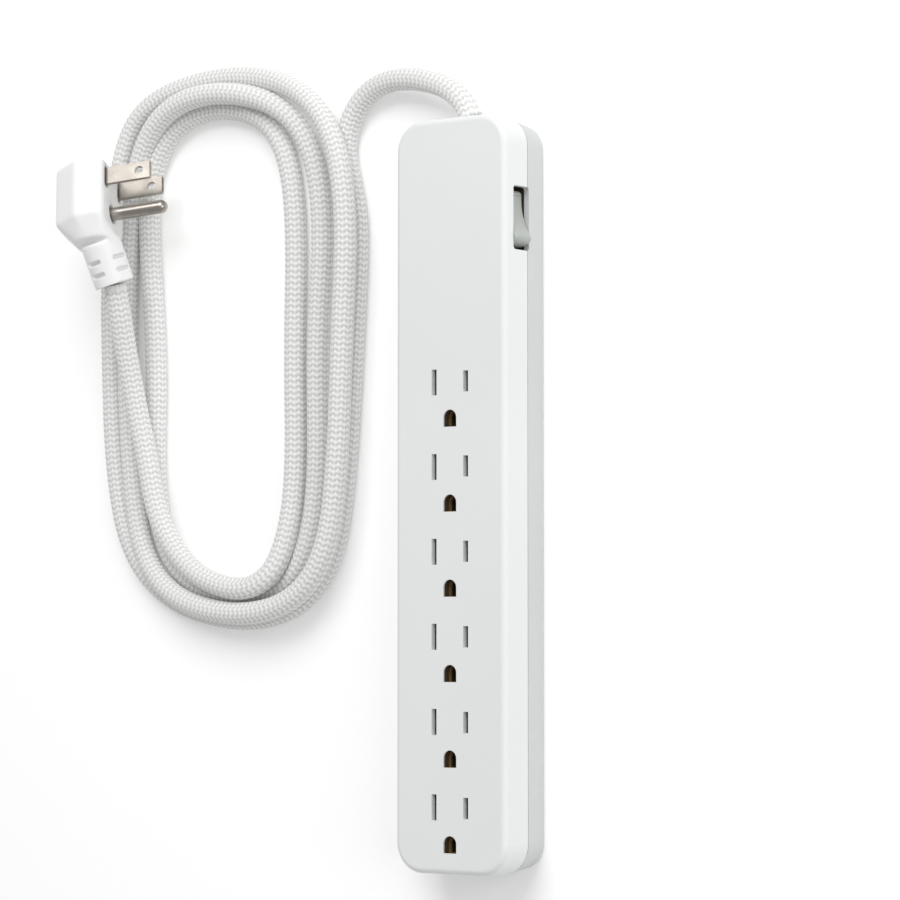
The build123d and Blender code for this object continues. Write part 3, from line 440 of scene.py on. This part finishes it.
# %% Screw tree
def screw_tree():
    """A node tree that stands a threaded screw on every point of its geometry."""
    tree = bpy.data.node_groups.new("cover_screw_tree", "GeometryNodeTree")
    face = tree.interface
    face.new_socket("Geometry", in_out="INPUT", socket_type="NodeSocketGeometry")
    for label in ("Head Radius", "Head Height", "Shank Radius", "Shank Length", "Thread Pitch",
                  "Thread Size", "Recess Length", "Recess Width", "Recess Depth"):
        face.new_socket(label, in_out="INPUT", socket_type="NodeSocketFloat")
    face.new_socket("Seed", in_out="INPUT", socket_type="NodeSocketInt")
    face.new_socket("Metal", in_out="INPUT", socket_type="NodeSocketMaterial")
    face.new_socket("Geometry", in_out="OUTPUT", socket_type="NodeSocketGeometry")
    given = tree.nodes.new("NodeGroupInput").outputs

    def add(kind, settings=None, inputs=None):
        made = tree.nodes.new(kind)
        for setting, value in (settings or {}).items():
            setattr(made, setting, value)
        for socket, value in (inputs or {}).items():
            if isinstance(value, bpy.types.NodeSocket):
                tree.links.new(value, made.inputs[socket])
            else:
                made.inputs[socket].default_value = value
        return made.outputs

    def sum_of(operation, first, second):
        return add("ShaderNodeMath", {"operation": operation}, {0: first, 1: second})[0]

    def vector(x=0.0, y=0.0, z=0.0):
        return add("ShaderNodeCombineXYZ", inputs={0: x, 1: y, 2: z})[0]

    def moved(geometry, offset):
        return add("GeometryNodeTransform", inputs={"Geometry": geometry, "Translation": offset})[0]

    def column(radius, height, low, sides):
        sizes = {"Vertices": sides, "Radius": radius, "Depth": height}
        cylinder = add("GeometryNodeMeshCylinder", inputs=sizes)[0]
        return moved(cylinder, vector(z=sum_of("ADD", low, sum_of("MULTIPLY", height, 0.5))))

    head = column(given["Head Radius"], given["Head Height"], 0.0, 48)
    # the two arms of the recess stop at different depths, so that no two of their faces lie in one plane
    twice_deep = sum_of("MULTIPLY", given["Recess Depth"], 2.0)
    less_deep = sum_of("MULTIPLY", twice_deep, 0.9)
    arms = [
        add("GeometryNodeMeshCube", inputs={"Size": size})[0]
        for size in (
            vector(given["Recess Length"], given["Recess Width"], twice_deep),
            vector(given["Recess Width"], given["Recess Length"], less_deep),
        )
    ]
    recessed = add("GeometryNodeMeshBoolean", {"operation": "DIFFERENCE"}, {0: head})
    boolean = recessed[0].node
    for arm in arms:
        tree.links.new(arm, boolean.inputs[1])
    shank = column(given["Shank Radius"], given["Shank Length"], given["Head Height"], 32)
    climb = sum_of("SUBTRACT", given["Shank Length"], sum_of("MULTIPLY", given["Thread Pitch"], 2.0))
    spiral = add("GeometryNodeCurveSpiral", inputs={
        "Resolution": 24, "Rotations": sum_of("DIVIDE", climb, given["Thread Pitch"]),
        "Start Radius": given["Shank Radius"], "End Radius": given["Shank Radius"], "Height": climb,
    })[0]
    tooth_sizes = {"Resolution": 3, "Radius": given["Thread Size"]}
    tooth = add("GeometryNodeCurvePrimitiveCircle", inputs=tooth_sizes)[0]
    thread = add("GeometryNodeCurveToMesh", inputs={
        "Curve": spiral, "Profile Curve": tooth, "Fill Caps": True,
    })[0]
    thread_low = sum_of("ADD", given["Head Height"], given["Thread Pitch"])
    joined = add("GeometryNodeJoinGeometry")
    for solid in (recessed[0], shank, moved(thread, vector(z=thread_low))):
        tree.links.new(solid, joined[0].node.inputs[0])
    turn = add("FunctionNodeRandomValue", {"data_type": "FLOAT"}, {"Seed": given["Seed"]})
    turn_node = turn[0].node
    turn_node.inputs[3].default_value = 2 * math.pi
    on_points = add("GeometryNodeInstanceOnPoints", inputs={
        "Points": given["Geometry"], "Instance": joined[0], "Rotation": vector(z=turn[1]),
    })[0]
    real = add("GeometryNodeRealizeInstances", inputs={"Geometry": on_points})[0]
    coated = add("GeometryNodeSetMaterial", inputs={"Geometry": real, "Material": given["Metal"]})[0]
    result = tree.nodes.new("NodeGroupOutput")
    tree.links.new(coated, result.inputs[0])
    return tree


# %% Stand the screws
screw_x = 0.01485
screw_rows = (0.112, 0.056, -0.115)
head_bottom = 0.0006
screw_points = [(side * screw_x, y, head_bottom) for y in screw_rows for side in (-1, 1)]
cover_screws = mesh_object("cover_screws_threaded", screw_points, [])
screw_sizes = {
    "Head Radius": 0.0027, "Head Height": 0.0020, "Shank Radius": 0.00118, "Shank Length": 0.0150,
    "Thread Pitch": 0.0011, "Thread Size": 0.00024, "Recess Length": 0.0034, "Recess Width": 0.0008,
    "Recess Depth": 0.0012, "Seed": 7, "Metal": screw_steel,
}
modifier = cover_screws.modifiers.new("screws", "NODES")
modifier.node_group = screw_tree()
for item in modifier.node_group.interface.items_tree:
    if item.in_out == "INPUT" and item.name in screw_sizes:
        modifier[item.identifier] = screw_sizes[item.name]
applied(cover_screws)
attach(cover_screws, "casing")
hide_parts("cover_screws")
print("six threaded screws:", len(cover_screws.data.polygons), "faces")

# %% [markdown]
# ## Braided cotton
# The braid's colour comes from its own UV map and follows the braid's height: painted shade
# makes the valleys between rows and the gaps between the fine yarns across each leg greyer, and a
# painted highlight makes the crowns of the zigzag whiter. A soft sheen stands in for loose
# fibres at the edge of the cord.

# %% Braid material
braid = Finish("cord_braid", Roughness=0.9, Sheen_Weight=0.35, Sheen_Roughness=0.5)
braid_place = braid.node("ShaderNodeUVMap", {"uv_map": "braid"})
turn_round = braid.node("ShaderNodeSeparateXYZ", inputs={0: braid_place}, output=0)
row_count = braid.node("ShaderNodeSeparateXYZ", inputs={0: braid_place}, output=1)
tau = 2 * math.pi


def wave(finish, phase):
    """A cosine from -1 to 1 of a phase counted in whole waves."""
    return finish.node("ShaderNodeMath", {"operation": "COSINE"}, {0: phase * tau})


row_wave = wave(braid, row_count)
leg_wave = wave(braid, turn_round * (2.0 * zigzags_round))
yarn_wave = wave(braid, turn_round * (7.0 * zigzags_round) + row_count)
fuzz = braid.noise(1400.0, 3.0, 0.6)
patches = braid.noise(120.0, 2.0)
# painted shade and highlight: the colour follows this height, greyer in the valleys and between yarns,
# whiter on the crowns; the fuzz adds fibre tone
height = 0.5 - 0.30 * row_wave + 0.14 * leg_wave + 0.10 * yarn_wave + 0.26 * fuzz
shade = braid.between(height, 0.15, 0.95)
thread = braid.mixed(shade, (0.54, 0.545, 0.53, 1), (0.86, 0.865, 0.85, 1))
soiling = braid.between(patches, 0.3, 0.8, 0.0, 0.12)
braid.feed("Base Color", braid.mixed(soiling, thread, (0.76, 0.77, 0.75, 1)))
braid.bump(height, 0.65, 0.00016)
cord_braid = braid.material
cord.data.materials.append(cord_braid)
print("braid:", zigzags_round, "zigzags round the cord, rows", braid_row * 1000, "mm apart")

# %% [markdown]
# ## Finishes on the measured parts
# Every part of the measured model keeps its shape. Its material slot in the record says what it
# is made of, so one table gives each slot its finish.

# %% Give the measured parts their finishes
finishes = {
    "cover_plastic": cover_plastic, "base_plastic": base_plastic, "rocker_plastic": rocker_plastic,
    "shutter_plastic": shutter_plastic, "insulator": insulator, "guide_plastic": guide_plastic,
    "contact_brass": contact_brass,
    "spring_steel": spring_steel, "screw_steel": screw_steel, "gland_plastic": gland_plastic,
    "cord_braid": cord_braid, "wire_black": wire_black, "wire_white": wire_white,
    "wire_green": wire_green, "plug_plastic": plug_plastic, "plug_metal": plug_metal,
}
node_slots = {
    "top_cover": "cover_plastic", "base_tray": "base_plastic", "switch_rocker": "rocker_plastic",
    "switch_plunger": "spring_steel", "switch_housing": "insulator", "contact_carrier": "insulator",
    "ground_guides": "guide_plastic",
    "switch_contact_arm": "contact_brass", "switch_line_terminal": "contact_brass",
    "switch_load_terminal": "contact_brass", "neutral_bus": "contact_brass", "hot_bus": "contact_brass",
    "ground_bus": "contact_brass", "cover_screws": "screw_steel", "clamp_screws": "screw_steel",
    "cord_gland": "gland_plastic", "cord_clamp": "gland_plastic", "inner_sheath": "cord_braid",
    "cord_lead": "cord_braid", "cord_coil": "cord_braid", "cord_tail": "cord_braid",
    "line_wire": "wire_black", "load_wire": "wire_black", "neutral_wire": "wire_white",
    "ground_wire": "wire_green", "plug_body": "plug_plastic", "plug_bridge": "plug_plastic",
    "line_blade": "plug_metal", "neutral_blade": "plug_metal", "ground_pin": "plug_metal",
}
for number in range(1, 7):
    node_slots[f"shutter_{number}"] = "shutter_plastic"
    node_slots[f"shutter_spring_{number}"] = "spring_steel"
for name, part in nodes.items():
    finish = finishes[node_slots[name]]
    if not part.material_slots:
        part.data.materials.append(finish)
    for slot in part.material_slots:
        slot.material = finish
print("finished", len(nodes), "measured parts")

# %% [markdown]
# ## The plug's soft body
# The plug is one soft moulding: broad bevels that melt into each other and a boot that grows out
# of the body. The measured plug's outer shape is rebuilt on a fine even grid, and the body is
# relaxed well while the boot, with its short flexing slots, is left nearly as measured.

# %% Soft plug
boot_mouth = np.array([-0.14505, 0.07725, 0.0254])
boot_way = np.array([0.19, -0.94, -0.28])
boot_way /= np.linalg.norm(boot_way)
boot_reach, body_reach = 0.0098, 0.0150
grid_size = 0.00030
measured_plug = nodes["plug_body"]
soft_plug = bpy.data.objects.new("plug_moulding", measured_plug.data.copy())
soft_plug.matrix_world = measured_plug.matrix_world
bpy.context.scene.collection.objects.link(soft_plug)
soft_plug.data.transform(soft_plug.matrix_world)
soft_plug.matrix_world.identity()
soft_plug.data.materials.clear()
grid = soft_plug.modifiers.new("grid", "REMESH")
grid.mode = "VOXEL"
grid.voxel_size = grid_size
applied(soft_plug)
softness = soft_plug.vertex_groups.new(name="softness")
for vertex in soft_plug.data.vertices:
    from_mouth = float((boot_mouth - np.array(vertex.co)) @ boot_way)
    share = (from_mouth - boot_reach) / (body_reach - boot_reach)
    softness.add([vertex.index], min(1.0, max(0.03, share)), "REPLACE")
relax = soft_plug.modifiers.new("relax", "SMOOTH")
relax.factor = 0.7
relax.iterations = 45
relax.vertex_group = "softness"
applied(soft_plug)
for polygon in soft_plug.data.polygons:
    polygon.use_smooth = True
soft_plug.data.materials.append(plug_plastic)
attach(soft_plug, "casing")
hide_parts("plug_body")
print("soft plug:", len(soft_plug.data.polygons), "faces")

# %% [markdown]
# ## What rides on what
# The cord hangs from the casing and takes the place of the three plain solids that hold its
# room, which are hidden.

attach(cord, "casing")
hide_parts("cord_lead", "cord_coil", "cord_tail")

# %% [markdown]
# ## Floor and light
# A plain pale floor, a bright surround, and one broad lamp high over the cord's end. Faces that
# look away from it fall to a soft grey.

# %% Floor, lamps and surround
floor = mesh_object("floor", [(-4, -4, 0), (4, -4, 0), (4, 4, 0), (-4, 4, 0)], [(0, 1, 2, 3)])
paper = Finish("floor_paper", Roughness=0.9)
paper.feed("Base Color", paper.mixed(paper.noise(3.0), (0.93, 0.93, 0.93, 1), (0.95, 0.95, 0.95, 1)))
paper.shader.inputs["Emission Color"].default_value = (1, 1, 1, 1)
paper.shader.inputs["Emission Strength"].default_value = 0.14
floor.data.materials.append(paper.material)


def soft_lamp(name, place, target, size, power):
    """A square lamp that points at a target."""
    data = bpy.data.lights.new(name, "AREA")
    data.size = size
    data.energy = power
    lamp = bpy.data.objects.new(name, data)
    lamp.location = place
    lamp.rotation_euler = (Vector(target) - Vector(place)).to_track_quat("-Z", "Y").to_euler()
    bpy.context.scene.collection.objects.link(lamp)
    return lamp


soft_lamp("key_lamp", (0.25, 1.1, 1.3), (-0.05, 0.0, 0.0), 1.2, 19.0)
soft_lamp("side_lamp", (1.3, 0.1, 0.7), (0.0, 0.0, 0.0), 1.0, 6.0)
world = bpy.data.worlds.new("white_room")
world.use_nodes = True
surround = next(node for node in world.node_tree.nodes if node.type == "BACKGROUND")
surround.inputs["Color"].default_value = (1, 1, 1, 1)
surround.inputs["Strength"].default_value = 0.46
bpy.context.scene.world = world
bpy.context.scene.view_settings.view_transform = "Standard"
